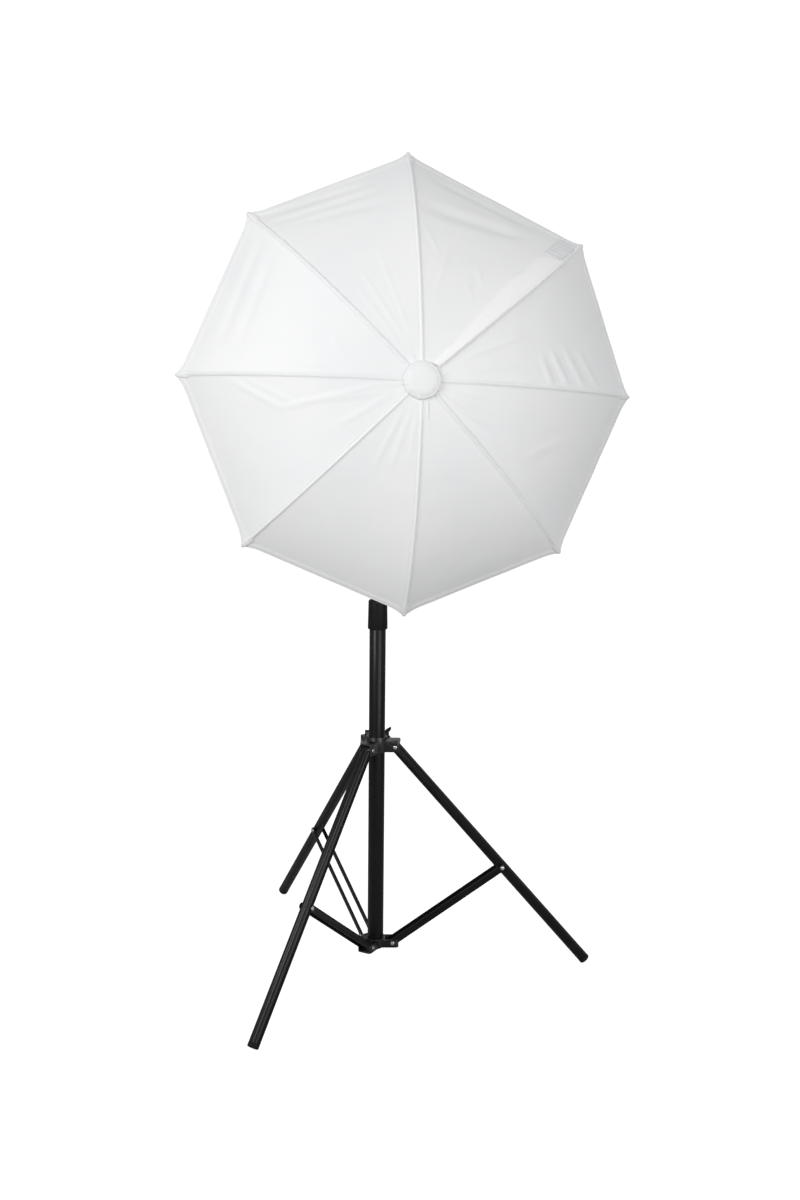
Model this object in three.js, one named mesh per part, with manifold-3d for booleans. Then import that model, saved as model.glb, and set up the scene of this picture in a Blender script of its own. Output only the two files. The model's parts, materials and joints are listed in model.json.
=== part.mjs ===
// Umbrella softbox on a three-legged light stand, in millimetres, +Z up.
// The column stands on the Z axis, one leg points along +X, and the softbox faces roughly -Y.

import * as THREE from 'three';
import { mergeVertices } from 'three/addons/utils/BufferGeometryUtils.js';
import Module from 'manifold-3d';

const wasm = await Module();
wasm.setup();

const DEG = Math.PI / 180;
const GAP = 0.3;
const ROUND = 28;

// Column: three telescoping tubes
const TUBES = [
  { name: 'outer_tube', radius: 16, wall: 1.5, bottom: 28.8, top: 705 },
  { name: 'mid_tube', radius: 12.5, wall: 1.3, bottom: 300, top: 905 },
  { name: 'upper_tube', radius: 10, wall: 1.2, bottom: 560, top: 1012 },
];
const COLLARS = [
  { name: 'lock_collar_lower', tube: 0, bottom: 680, top: 738, outer: 19.4, taper: 1.1, screw: 716 },
  { name: 'lock_collar_upper', tube: 1, bottom: 872, top: 925, outer: 15.6, taper: 0.6, screw: 914 },
];
const COLLAR_EDGE = 2.5;
const COLLAR_BOSS = { radius: 8, proud: 7 };
const SCREW_RADIUS = 3;
const BUSH = { start: 2, length: 34 };
const STUD_INSERT = 30;

// Tripod
const LEG_DIRECTIONS = { right: 0, front: -120, rear: 120 };
const LEG_RADIUS = 10.6;
const LEG_WALL = 1.5;
const LEG_HINGE = { r: 36.2, z: 445 };
const FLOOR = -7.5;
const FOOT = { r: 427.65, radius: 10.7, sole: 9.5, head: 7, stem: 22 };
const BRACE_HINGE = { r: 34.6, z: 38.2 };
const BRACE_AT = 330;
const BRACE_WIDTH = 13;
const BRACE_THICKNESS = 1.6;
const HINGE_PIN = 2.6;
const RIVET_HEAD = { radius: 4.2, height: 1.8 };
const SPIDER = { low: 435, plate: 456, top: 458.5, ring: 466, reach: 47, ringRadius: 21.5, channel: 11 };
const BASE = { low: 28.8, plate: 31.3, top: 44.8, ring: 46.8, reach: 47, ringRadius: 20.5, channel: 13 };
const CHEEK_THICKNESS = 2;
const CHANNEL_CORNER = 7;
const CLAMP = { slot: 2, earStart: 16, earEnd: 9, earHigh: 471.5, bossEnd: 24, y: 27, z: 463, radius: 7 };
const GROOVE_DEPTH = 0.9;

// Head: swivel bracket that holds the softbox shaft and a flash shoe
const HEAD_TURN = 7.46;
const TILT_REST = 4.16;
const TILT_PIVOT = 1085.6;
const SHAFT_ABOVE_PIVOT = 32;
const SOCKET = { bottom: 1019, top: 1066, radius: 14, bore: 8.25, boreTop: 1055, screw: 1036, bossEnd: 20 };
const STUD = { radius: 7.9, top: 1052, groove: 6.6 };
const DISC = { radius: 15, thickness: 12.5, gap: 0.5 };
const BOLT = { radius: 3.9, hole: 4.2, head: 7.5, headHeight: 5, end: 12 };
const LEVER = { length: 44, tip: 4, root: 6, thickness: 7, lean: 0.35 };
const BLOCK = { x: 13, low: -15, high: 13, z: 17 };
const SHOE = { width: 25, length: 22, slot: 18.8, slotHeight: 2.3, mouth: 12.8 };
const SHOE_LEVEL = { bottom: 19.4, floor: 21.8, top: 26.6 };
const SHOE_POST = 5;

// Softbox, in its own frame: +Z along the shaft towards the front, origin where the bracket grips it
const SHAFT = { radius: 4, bore: 3.2, rear: -150, front: 500 };
const RIB_AZIMUTHS = [-1.8, 39, 90, 133.5, 177.5, 223.4, 268.9, 313.4];
const RIM = { radius: 373.4, z: 363 };
const DOME_DEPTH = 143;
const CLOTH = 1.6;
const RIB = { radius: 1.6, knuckle: 8.4, end: 368, drop: 3.4, crownDrop: 5.4 };
const CROWN = { z: 494, core: 6.6, flange: 12, flangeLow: 498.6, flangeTop: 501.4 };
const RUNNER = { z: 352, pivot: 10.4, core: 8, flange: 12.5, rear: 318 };
const CATCH = { radius: 3, low: 6, high: 11.3, edge: 0.8, along: 12 };
const STRETCHER = { at: 175, radius: 1.4, beside: 3.5 };
const CAP = { radius: 29.5, height: 11, lift: 0.4 };
const FLAP = { start: 0.13, end: 0.96, offset: 9, widthRim: 45, widthHub: 10, lift: 0.5, thickness: 1.2 };
const REAR = { rimRadius: 0.982, rimZ: 355, portRadius: 76, portZ: 300, thickness: 1.2, steps: 8 };

// ---------- helpers ----------

const finish = {
  blackMetal: { color: 0x1d1e1f, roughness: 0.42, metalness: 0.35 },
  stampedMetal: { color: 0x2b2c2e, roughness: 0.38, metalness: 0.4 },
  blackPlastic: { color: 0x161617, roughness: 0.6, metalness: 0 },
  rubber: { color: 0x121212, roughness: 0.85, metalness: 0 },
  steel: { color: 0xb9bbbd, roughness: 0.3, metalness: 0.9 },
  whiteCloth: { color: 0xf2f3f4, roughness: 0.9, metalness: 0 },
  rearCloth: { color: 0x17181a, roughness: 0.85, metalness: 0 },
};

function mesh(name, geometry, look) {
  const made = new THREE.Mesh(geometry, new THREE.MeshStandardMaterial(finish[look]));
  made.name = name;
  return made;
}

function toSolid(geometry) {
  const bare = geometry.index ? geometry.toNonIndexed() : geometry.clone();
  for (const key of Object.keys(bare.attributes)) {
    if (key !== 'position') bare.deleteAttribute(key);
  }
  const merged = mergeVertices(bare, 1e-4);
  const vertProperties = new Float32Array(merged.attributes.position.array);
  const triVerts = new Uint32Array(merged.index.array);
  return new wasm.Manifold(new wasm.Mesh({ numProp: 3, vertProperties, triVerts }));
}

function toGeometry(solid) {
  const made = solid.getMesh();
  const geometry = new THREE.BufferGeometry();
  geometry.setAttribute('position', new THREE.BufferAttribute(made.vertProperties, 3));
  geometry.setIndex(new THREE.BufferAttribute(made.triVerts, 1));
  return geometry;
}

const join = (first, ...rest) => rest.reduce((all, next) => all.add(next), first);
const cut = (first, ...rest) => rest.reduce((all, next) => all.subtract(next), first);

function box(x0, x1, y0, y1, z0, z1) {
  const geometry = new THREE.BoxGeometry(x1 - x0, y1 - y0, z1 - z0);
  geometry.translate((x0 + x1) / 2, (y0 + y1) / 2, (z0 + z1) / 2);
  return geometry;
}

// A solid or ring of revolution about Z from [radius, height] pairs, closed on itself or on the axis
function turned(profile, segments = ROUND) {
  const points = profile.map(([r, z]) => new THREE.Vector2(r, z));
  if (profile.every(([r]) => r > 0)) points.push(points[0].clone());
  return new THREE.LatheGeometry(points, segments).rotateX(Math.PI / 2);
}

const rod = (radius, low, high, segments = ROUND) =>
  turned([[0, low], [radius, low], [radius, high], [0, high]], segments);

const ring = (inner, outer, low, high, segments = ROUND) =>
  turned([[inner, low], [outer, low], [outer, high], [inner, high]], segments);

const alongX = (geometry) => geometry.rotateY(Math.PI / 2);
const alongY = (geometry) => geometry.rotateX(-Math.PI / 2);

// A flat plate in the radial plane (x outward, y up), centred on thickness, with rounded ends
function strip(length, width, thickness, offset) {
  const shape = new THREE.Shape();
  shape.absarc(0, 0, width / 2, Math.PI / 2, Math.PI * 1.5, false);
  shape.absarc(length, 0, width / 2, -Math.PI / 2, Math.PI / 2, false);
  const options = { depth: thickness, bevelEnabled: false, curveSegments: 8 };
  return new THREE.ExtrudeGeometry(shape, options).translate(0, 0, offset);
}

// A hub with two wings on its far end, along +Z from z = 0, with a screw reaching back to -reach
function wingKnob({ hub, height, wing, thickness, screw, reach }) {
  const profile = [[0, 0], [hub, 0], [hub, height * 0.7], [hub * 0.7, height], [0, height]];
  const body = toSolid(turned(profile, 24));
  const wingTip = height * 1.25;
  const shape = new THREE.Shape();
  shape.moveTo(-wing, wingTip);
  shape.quadraticCurveTo(-wing * 0.7, height * 0.55, -hub * 0.5, height * 0.35);
  shape.lineTo(hub * 0.5, height * 0.35);
  shape.quadraticCurveTo(wing * 0.7, height * 0.55, wing, wingTip);
  shape.quadraticCurveTo(wing * 0.62, height * 1.4, hub * 0.4, height * 0.9);
  shape.lineTo(-hub * 0.4, height * 0.9);
  shape.quadraticCurveTo(-wing * 0.62, height * 1.4, -wing, wingTip);
  const options = { depth: thickness, bevelEnabled: false, curveSegments: 6 };
  const flat = new THREE.ExtrudeGeometry(shape, options).translate(0, 0, -thickness / 2);
  const wings = toSolid(flat.rotateX(Math.PI / 2));
  const stem = toSolid(rod(screw, -reach, height * 0.3, 16));
  return join(body, wings, stem);
}

// ---------- column ----------

function tube({ name, radius, wall, bottom, top }) {
  return mesh(name, ring(radius - wall, radius, bottom, top, 48), 'blackMetal');
}

function basePlug() {
  const { radius, wall, bottom } = TUBES[0];
  const stem = radius - wall - GAP;
  const head = radius - 0.5;
  const stemTop = bottom + 16;
  const profile = [
    [0, bottom - 5.5],
    [stem - 2, bottom - 5],
    [head, bottom - 3],
    [head, bottom - GAP],
    [stem, bottom - GAP],
    [stem, stemTop],
    [0, stemTop],
  ];
  return mesh('base_plug', turned(profile), 'blackPlastic');
}

// A plastic guide sleeve round the foot of an inner tube
function guideBush(name, inner, outer) {
  const bore = outer.radius - outer.wall - GAP;
  const low = inner.bottom + BUSH.start;
  const body = ring(inner.radius + GAP, bore, low, inner.bottom + BUSH.length);
  return mesh(name, body, 'blackPlastic');
}

// A sleeve over the top of one tube that narrows to the next, with a side boss for the screw
function lockCollar({ name, tube: index, bottom, top, outer, taper, screw }) {
  const tubeBelow = TUBES[index];
  const tubeAbove = TUBES[index + 1];
  const step = tubeBelow.top + GAP;
  const profile = [
    [tubeBelow.radius + GAP, bottom],
    [outer - COLLAR_EDGE, bottom],
    [outer - COLLAR_EDGE * 0.3, bottom + COLLAR_EDGE * 0.3],
    [outer, bottom + COLLAR_EDGE],
    [outer - taper, top - 2],
    [outer - taper - 1.5, top],
    [tubeAbove.radius + GAP, top],
    [tubeAbove.radius + GAP, step],
    [tubeBelow.radius + GAP, step],
  ];
  const sleeve = toSolid(turned(profile, 36));
  const bossStart = tubeAbove.radius + 1.5;
  const bossEnd = outer + COLLAR_BOSS.proud;
  const boss = toSolid(alongY(rod(COLLAR_BOSS.radius, bossStart, bossEnd, 24)).translate(0, 0, screw));
  const hole = toSolid(alongY(rod(SCREW_RADIUS + GAP, 0, bossEnd + 13, 20)).translate(0, 0, screw));
  return mesh(name, toGeometry(cut(join(sleeve, boss), hole)), 'blackPlastic');
}

function lockKnob(name, { tube: index, outer, screw }) {
  const face = outer + COLLAR_BOSS.proud + GAP;
  const reach = face - TUBES[index + 1].radius - 2 * GAP;
  const knob = wingKnob({ hub: 8, height: 14, wing: 17, thickness: 6, screw: SCREW_RADIUS, reach });
  const made = mesh(name, toGeometry(knob), 'blackPlastic');
  made.position.set(0, face, screw);
  made.rotation.x = -Math.PI / 2;
  return made;
}

function stud() {
  const { radius, wall, top } = TUBES[2];
  const plug = radius - wall - GAP;
  const middle = (top + STUD.top) / 2 + 4;
  const profile = [
    [0, top - STUD_INSERT],
    [plug, top - STUD_INSERT],
    [plug, top + GAP],
    [radius, top + GAP],
    [radius, top + 5],
    [STUD.radius, top + 6.5],
    [STUD.radius, middle - 7],
    [STUD.groove, middle - 5],
    [STUD.groove, middle + 3],
    [STUD.radius, middle + 5],
    [STUD.radius, STUD.top - 1.5],
    [STUD.radius - 1.5, STUD.top],
    [0, STUD.top],
  ];
  return mesh('stand_stud', turned(profile), 'steel');
}

// ---------- tripod ----------

// Three channels round a ring. Each is two cheeks and a plate, pierced for a hinge pin.
function channelHub(part, hinge, plateLow, plateHigh, bore) {
  const inner = part.channel;
  const outerHalf = inner + CHEEK_THICKNESS;
  let hub = toSolid(rod(part.ringRadius, part.low, part.ring));
  for (const azimuth of Object.values(LEG_DIRECTIONS)) {
    const arm = channelArm(part.reach, outerHalf, part.low, part.top);
    const hollow = box(part.ringRadius - 1, part.reach + 5, -inner, inner, plateLow, plateHigh);
    const pin = alongY(rod(HINGE_PIN + GAP, -outerHalf - 2, outerHalf + 2, 20));
    pin.translate(hinge.r, 0, hinge.z);
    const [arms, hollows, pins] = [arm, hollow, pin].map((shape) => toSolid(shape.rotateZ(azimuth * DEG)));
    hub = cut(join(hub, arms), hollows, pins);
  }
  return cut(hub, toSolid(rod(bore, part.low - 5, part.top + 30)));
}

function channelArm(reach, half, low, high) {
  const corner = CHANNEL_CORNER;
  const shape = new THREE.Shape();
  shape.moveTo(5, -half);
  shape.lineTo(reach - corner, -half);
  shape.quadraticCurveTo(reach, -half, reach, -half + corner);
  shape.lineTo(reach, half - corner);
  shape.quadraticCurveTo(reach, half, reach - corner, half);
  shape.lineTo(5, half);
  const options = { depth: high - low, bevelEnabled: false, curveSegments: 5 };
  return new THREE.ExtrudeGeometry(shape, options).translate(0, 0, low);
}

// The sliding spider: inverted channels, with a split clamp behind the column
function spider() {
  const slide = TUBES[0].radius + 0.4;
  const hub = channelHub(SPIDER, LEG_HINGE, SPIDER.low - 5, SPIDER.plate, slide);
  const { slot, earStart, earEnd, earHigh, bossEnd, radius, y, z } = CLAMP;
  const reach = y + 6;
  const ears = toSolid(box(-earEnd, earEnd, earStart, reach, SPIDER.plate + GAP, earHigh));
  const boss = toSolid(alongX(rod(radius, -bossEnd, -earEnd + 1, 20)).translate(0, y, z));
  const split = toSolid(box(-slot, slot, 10, reach + 5, SPIDER.plate - 5, earHigh + 11));
  const hole = toSolid(alongX(rod(SCREW_RADIUS + GAP, -20, 20, 20)).translate(0, y, z));
  const bore = toSolid(rod(slide, SPIDER.low - 5, earHigh + 21));
  return mesh('spider', toGeometry(cut(join(hub, ears, boss), split, hole, bore)), 'stampedMetal');
}

function spiderKnob() {
  const face = CLAMP.earEnd + GAP;
  const reach = face + 15;
  const knob = wingKnob({ hub: 6.5, height: 15, wing: 13.5, thickness: 5, screw: SCREW_RADIUS, reach });
  const made = mesh('spider_knob', toGeometry(knob), 'blackPlastic');
  made.position.set(face, CLAMP.y, CLAMP.z);
  made.rotation.set(0, Math.PI / 2, 0);
  return made;
}

function baseCollar() {
  const hub = channelHub(BASE, BRACE_HINGE, BASE.plate, BASE.top + 5, TUBES[0].radius + GAP);
  return mesh('base_collar', toGeometry(hub), 'stampedMetal');
}

// The leg's angle from straight down. The sole's lower corner touches the floor,
// so the end of the leg's axis stays above it, and the angle is found by repeating.
function splay() {
  let angle = 0.7;
  for (let i = 0; i < 20; i += 1) {
    const drop = LEG_HINGE.z - FLOOR - FOOT.sole * Math.sin(angle);
    angle = Math.atan2(FOOT.r - LEG_HINGE.r, drop);
  }
  return angle;
}

const legAngle = splay();
const legLength = (FOOT.r - LEG_HINGE.r) / Math.sin(legAngle);
const braceEnd = {
  r: LEG_HINGE.r + BRACE_AT * Math.sin(legAngle),
  z: LEG_HINGE.z - BRACE_AT * Math.cos(legAngle),
};
const braceLength = Math.hypot(braceEnd.r - BRACE_HINGE.r, braceEnd.z - BRACE_HINGE.z);
const braceRise = Math.atan2(braceEnd.z - BRACE_HINGE.z, braceEnd.r - BRACE_HINGE.r);

// A closed outline of equal angular steps, whose radius may change from step to step
function outline(steps, radiusAt) {
  const shape = new THREE.Shape();
  for (let i = 0; i < steps; i += 1) {
    const a = (i / steps) * 2 * Math.PI;
    const r = radiusAt(i);
    if (i === 0) shape.moveTo(r * Math.cos(a), r * Math.sin(a));
    else shape.lineTo(r * Math.cos(a), r * Math.sin(a));
  }
  shape.closePath();
  return shape;
}

// Round tube with four shallow grooves along it; local Z runs from the hinge to the foot
function legSection(radius) {
  const steps = 36;
  return outline(steps, (i) => (i % (steps / 4) === 0 ? radius - GROOVE_DEPTH : radius));
}

function leg(name) {
  const length = legLength - FOOT.head - GAP;
  const options = { depth: length, bevelEnabled: false };
  const round = toSolid(new THREE.ExtrudeGeometry(legSection(LEG_RADIUS), options));
  const knuckle = toSolid(alongY(rod(LEG_RADIUS, -LEG_RADIUS, LEG_RADIUS, 24)));
  const outerHalf = SPIDER.channel + CHEEK_THICKNESS + GAP;
  const pinEnd = outerHalf + 0.5;
  const pin = toSolid(alongY(rod(HINGE_PIN, -pinEnd, pinEnd, 16)));
  const heads = [-1, 1].map((side) => {
    const low = side > 0 ? outerHalf : -outerHalf - RIVET_HEAD.height;
    return toSolid(alongY(rod(RIVET_HEAD.radius, low, low + RIVET_HEAD.height, 16)));
  });
  const hollow = toSolid(rod(LEG_RADIUS - LEG_WALL, LEG_RADIUS * 1.4, length + 5, 24));
  return mesh(name, toGeometry(cut(join(round, knuckle, pin, ...heads), hollow)), 'blackMetal');
}

// A plug in the end of the leg, with a head as wide as the tube
function foot(name) {
  const { radius, sole, head, stem } = FOOT;
  const end = legLength;
  const inner = LEG_RADIUS - LEG_WALL - GAP;
  const profile = [
    [0, end - head - stem],
    [inner, end - head - stem],
    [inner, end - head],
    [radius, end - head],
    [radius, end - radius + sole],
    [sole, end],
    [0, end],
  ];
  return mesh(name, turned(profile), 'rubber');
}

// Two flat strips either side of the leg, joined by the pin through the base collar's cheeks
function brace(name) {
  const { radius, height } = RIVET_HEAD;
  const inside = LEG_RADIUS + 0.5;
  const outside = inside + BRACE_THICKNESS - 0.2;
  const cheekOuter = BASE.channel + CHEEK_THICKNESS + GAP;
  const sides = [-1, 1].map((side) => {
    const stripLow = side > 0 ? inside : -inside - BRACE_THICKNESS;
    const upperLow = side > 0 ? outside : -outside - height;
    const lowerLow = side > 0 ? cheekOuter : -cheekOuter - height;
    const flat = toSolid(strip(braceLength, BRACE_WIDTH, BRACE_THICKNESS, stripLow));
    const upperHead = rod(radius, upperLow, upperLow + height, 16).translate(braceLength, 0, 0);
    const lowerHead = rod(radius, lowerLow, lowerLow + height, 16);
    return join(flat, toSolid(upperHead), toSolid(lowerHead));
  });
  const pin = toSolid(rod(HINGE_PIN, -cheekOuter - 0.5, cheekOuter + 0.5, 16));
  return mesh(name, toGeometry(join(...sides, pin)), 'blackMetal');
}

function tripodSide(name, azimuth) {
  const side = new THREE.Group();
  side.rotation.z = azimuth * DEG;

  const legFrame = new THREE.Group();
  legFrame.position.set(LEG_HINGE.r, 0, LEG_HINGE.z);
  legFrame.rotation.y = Math.PI - legAngle;
  legFrame.add(leg(`leg_${name}`), foot(`foot_${name}`));

  const braceMesh = brace(`brace_${name}`);
  braceMesh.position.set(BRACE_HINGE.r, 0, BRACE_HINGE.z);
  braceMesh.rotation.set(Math.PI / 2, 0, 0);
  braceMesh.geometry.rotateZ(braceRise);

  side.add(legFrame, braceMesh);
  return side;
}

// ---------- head ----------

function standSocket() {
  const { bottom, top, radius, bossEnd, screw } = SOCKET;
  const discEnd = -DISC.gap - DISC.thickness;
  const profile = [
    [0, bottom],
    [radius - 1.5, bottom],
    [radius, bottom + 1.5],
    [radius, top - 2],
    [radius - 2, top],
    [0, top],
  ];
  const body = toSolid(turned(profile));
  const bore = toSolid(rod(SOCKET.bore, bottom - 5, SOCKET.boreTop));
  const web = toSolid(box(discEnd, -DISC.gap, -11, 11, top - 8, TILT_PIVOT));
  const disc = toSolid(alongX(rod(DISC.radius, discEnd, -DISC.gap)).translate(0, 0, TILT_PIVOT));
  const boss = toSolid(alongX(rod(7, -bossEnd, -SOCKET.bore + 0.1, 24)).translate(0, 0, screw));
  const screwHole = toSolid(alongX(rod(SCREW_RADIUS + GAP, -40, 0, 20)).translate(0, 0, screw));
  const boltHole = toSolid(alongX(rod(BOLT.hole, -40, 40, 24)).translate(0, 0, TILT_PIVOT));
  const trimmed = cut(join(body, web, disc, boss), bore, screwHole, boltHole);
  return mesh('stand_socket', toGeometry(trimmed), 'blackPlastic');
}

function socketKnob() {
  const face = SOCKET.bossEnd + GAP;
  const reach = face - STUD.radius - 2 * GAP;
  const knob = wingKnob({ hub: 7, height: 13, wing: 15, thickness: 6, screw: SCREW_RADIUS, reach });
  const made = mesh('socket_knob', toGeometry(knob), 'blackPlastic');
  made.position.set(-face, 0, SOCKET.screw);
  made.rotation.set(0, -Math.PI / 2, 0);
  return made;
}

function tiltBolt() {
  const side = DISC.gap + DISC.thickness + GAP;
  const stem = toSolid(rod(BOLT.radius, -side - 2, side + BOLT.end, 24));
  const head = toSolid(rod(BOLT.head, -side - BOLT.headHeight, -side, 6));
  const bolt = join(stem, head);
  const made = mesh('tilt_bolt', toGeometry(bolt), 'steel');
  made.position.set(0, 0, TILT_PIVOT);
  made.rotation.y = Math.PI / 2;
  return made;
}

// Hub over the bolt's end, with a tapered handle hanging down
function tiltLever() {
  const side = DISC.gap + DISC.thickness + GAP;
  const hub = toSolid(turned([[0, side], [9, side], [9, side + 13], [7, side + 16], [0, side + 16]]));
  const shape = new THREE.Shape();
  shape.moveTo(-LEVER.root, 0);
  shape.lineTo(-LEVER.tip, LEVER.length);
  shape.absarc(0, LEVER.length, LEVER.tip, Math.PI, 0, true);
  shape.lineTo(LEVER.root, 0);
  const options = { depth: LEVER.thickness, bevelEnabled: false, curveSegments: 8 };
  const handle = toSolid(new THREE.ExtrudeGeometry(shape, options).translate(0, 0, side + 7));
  const socket = toSolid(rod(BOLT.hole, side - 2, side + BOLT.end + 0.5, 24));
  const made = mesh('tilt_lever', toGeometry(cut(join(hub, handle), socket)), 'blackPlastic');
  made.position.set(0, 0, TILT_PIVOT);
  made.rotation.set(0, Math.PI / 2, 0);
  made.geometry.rotateZ(-Math.PI / 2 - LEVER.lean);
  return made;
}

// The upper half of the bracket, in the softbox's frame
function tiltHead() {
  const axisY = -SHAFT_ABOVE_PIVOT;
  const inner = DISC.gap;
  const outer = DISC.gap + DISC.thickness;
  const block = toSolid(box(-BLOCK.x, BLOCK.x, BLOCK.low, BLOCK.high, -BLOCK.z, BLOCK.z));
  const web = toSolid(box(inner, outer, axisY, BLOCK.low + 2, -13, 13));
  const disc = toSolid(alongX(rod(DISC.radius, inner, outer)).translate(0, axisY, 0));
  const boltHole = toSolid(alongX(rod(BOLT.hole, -40, 40, 24)).translate(0, axisY, 0));
  const shaftHole = toSolid(rod(SHAFT.radius + 0.4, -40, 40, 24));
  const screwHole = toSolid(alongX(rod(SCREW_RADIUS + GAP, -40, 0, 20)));
  const head = cut(join(block, web, disc), boltHole, shaftHole, screwHole);
  return mesh('tilt_head', toGeometry(head), 'blackPlastic');
}

function shaftScrew() {
  const face = BLOCK.x + GAP;
  const reach = face - SHAFT.radius - 2 * GAP;
  const knob = wingKnob({ hub: 6.5, height: 12, wing: 13, thickness: 5, screw: SCREW_RADIUS, reach });
  const made = mesh('shaft_screw', toGeometry(knob), 'blackPlastic');
  made.position.set(-face, 0, 0);
  made.rotation.set(0, -Math.PI / 2, 0);
  return made;
}

// A cold shoe on a short post: slotted rails open at both ends
function flashShoe() {
  const [half, slotHalf, mouthHalf] = [SHOE.width / 2, SHOE.slot / 2, SHOE.mouth / 2];
  const { bottom, floor, top } = SHOE_LEVEL;
  const rails = toSolid(box(-half, half, bottom, top, -SHOE.length / 2, SHOE.length / 2));
  const slot = toSolid(box(-slotHalf, slotHalf, floor, floor + SHOE.slotHeight, -20, 20));
  const mouth = toSolid(box(-mouthHalf, mouthHalf, floor + 1, top + 5, -20, 20));
  const post = toSolid(alongY(rod(SHOE_POST, BLOCK.high + GAP, floor - 1, 24)));
  return mesh('flash_shoe', toGeometry(cut(join(rails, post), slot, mouth)), 'stampedMetal');
}

function shoeRing() {
  const low = BLOCK.high + 2 * GAP;
  const high = SHOE_LEVEL.bottom - GAP;
  const teeth = 20;
  const shape = outline(teeth * 2, (i) => (i % 2 ? 12.2 : 13));
  const knurled = new THREE.ExtrudeGeometry(shape, { depth: high - low, bevelEnabled: false });
  const bored = cut(toSolid(knurled), toSolid(rod(SHOE_POST + GAP, -5, 20, 24)));
  const made = mesh('shoe_ring', toGeometry(bored), 'blackPlastic');
  made.rotation.x = -Math.PI / 2;
  made.position.y = low;
  return made;
}

// ---------- softbox ----------

// Height of the dome over the rim plane's zero, at a share of the rim radius
const domeZ = (share) => RIM.z + DOME_DEPTH * (1 - 0.82 * share ** 2 - 0.18 * share ** 6);

// A point on the dome between rib i and the next one: along = share of the radius, across = 0 to 1
function domePoint(i, along, across) {
  const a = RIB_AZIMUTHS[i] * DEG;
  const next = i + 1 < RIB_AZIMUTHS.length ? RIB_AZIMUTHS[i + 1] : RIB_AZIMUTHS[0] + 360;
  const b = next * DEG;
  const r = along * RIM.radius;
  const from = new THREE.Vector3(r * Math.cos(a), r * Math.sin(a), domeZ(along));
  const to = new THREE.Vector3(r * Math.cos(b), r * Math.sin(b), domeZ(along));
  return from.lerp(to, across);
}

// The same for the rear cover: along runs from the port (0) to the rim (1)
function rearPoint(i, along, across) {
  const rim = domePoint(i, 1, across).multiplyScalar(REAR.rimRadius).setZ(REAR.rimZ);
  const a = Math.atan2(rim.y, rim.x);
  const port = new THREE.Vector3(REAR.portRadius * Math.cos(a), REAR.portRadius * Math.sin(a), REAR.portZ);
  return port.lerp(rim, along);
}

// A closed skin of even thickness along Z, under a grid of points (rows by columns).
// wrap joins the last column to the first; a row of one point is the pole of a cap.
function skin(rows, thickness, wrap) {
  const positions = [];
  const index = [];
  const at = [0, -thickness].map((shift) => rows.map((row) => row.map((p) => {
    positions.push(p.x, p.y, p.z + shift);
    return positions.length / 3 - 1;
  })));
  const face = (a, b, c) => {
    if (a !== b && b !== c && a !== c) index.push(a, b, c);
  };
  const pick = (side, r, c) => {
    const row = at[side][r];
    return row.length === 1 ? row[0] : row[c % row.length];
  };
  const columns = Math.max(...rows.map((row) => row.length));
  const spans = wrap ? columns : columns - 1;
  for (let r = 0; r < rows.length - 1; r += 1) {
    for (let c = 0; c < spans; c += 1) {
      const top = [pick(0, r, c), pick(0, r + 1, c), pick(0, r + 1, c + 1), pick(0, r, c + 1)];
      const low = [pick(1, r, c), pick(1, r + 1, c), pick(1, r + 1, c + 1), pick(1, r, c + 1)];
      face(top[0], top[1], top[2]);
      face(top[0], top[2], top[3]);
      face(low[0], low[2], low[1]);
      face(low[0], low[3], low[2]);
    }
  }
  for (const [r, flip] of [[0, true], [rows.length - 1, false]]) {
    for (let c = 0; c < spans && rows[r].length > 1; c += 1) {
      const quad = [pick(0, r, c), pick(1, r, c), pick(1, r, c + 1), pick(0, r, c + 1)];
      if (flip) quad.reverse();
      face(quad[0], quad[1], quad[2]);
      face(quad[0], quad[2], quad[3]);
    }
  }
  if (!wrap) {
    for (const [c, flip] of [[0, false], [columns - 1, true]]) {
      for (let r = 0; r < rows.length - 1; r += 1) {
        const quad = [pick(0, r, c), pick(1, r, c), pick(1, r + 1, c), pick(0, r + 1, c)];
        if (flip) quad.reverse();
        face(quad[0], quad[1], quad[2]);
        face(quad[0], quad[2], quad[3]);
      }
    }
  }
  const geometry = new THREE.BufferGeometry();
  geometry.setAttribute('position', new THREE.Float32BufferAttribute(positions, 3));
  geometry.setIndex(index);
  return geometry;
}

function goreRow(point, along, across = 4) {
  const row = [];
  RIB_AZIMUTHS.forEach((_, i) => {
    for (let k = 0; k < across; k += 1) row.push(point(i, along, k / across));
  });
  return row;
}

function canopy() {
  const shares = [0.03, 0.1, 0.2, 0.3, 0.4, 0.5, 0.6, 0.7, 0.8, 0.88, 0.95, 1];
  const rows = [[new THREE.Vector3(0, 0, domeZ(0))], ...shares.map((share) => goreRow(domePoint, share))];
  return mesh('canopy', skin(rows, CLOTH, true), 'whiteCloth');
}

function rearCover() {
  const rows = [];
  for (let k = 0; k <= REAR.steps; k += 1) rows.push(goreRow(rearPoint, k / REAR.steps));
  return mesh('rear_cover', skin(rows, REAR.thickness, true), 'rearCloth');
}

// The closure flap lies on the panel between the second and third ribs, beside the second
function closureFlap() {
  const rows = [];
  const steps = 10;
  for (let k = 0; k <= steps; k += 1) {
    const along = FLAP.start + ((FLAP.end - FLAP.start) * k) / steps;
    const span = domePoint(1, along, 0).distanceTo(domePoint(1, along, 1));
    const width = FLAP.widthHub + (FLAP.widthRim - FLAP.widthHub) * along;
    const near = Math.min(0.3, (FLAP.offset * along) / span);
    const row = [0, 0.5, 1].map((share) => domePoint(1, along, near + (share * width) / span));
    row.forEach((p) => p.setZ(p.z + FLAP.lift + FLAP.thickness));
    rows.push(row);
  }
  return mesh('closure_flap', skin(rows, FLAP.thickness, false), 'whiteCloth');
}

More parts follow.
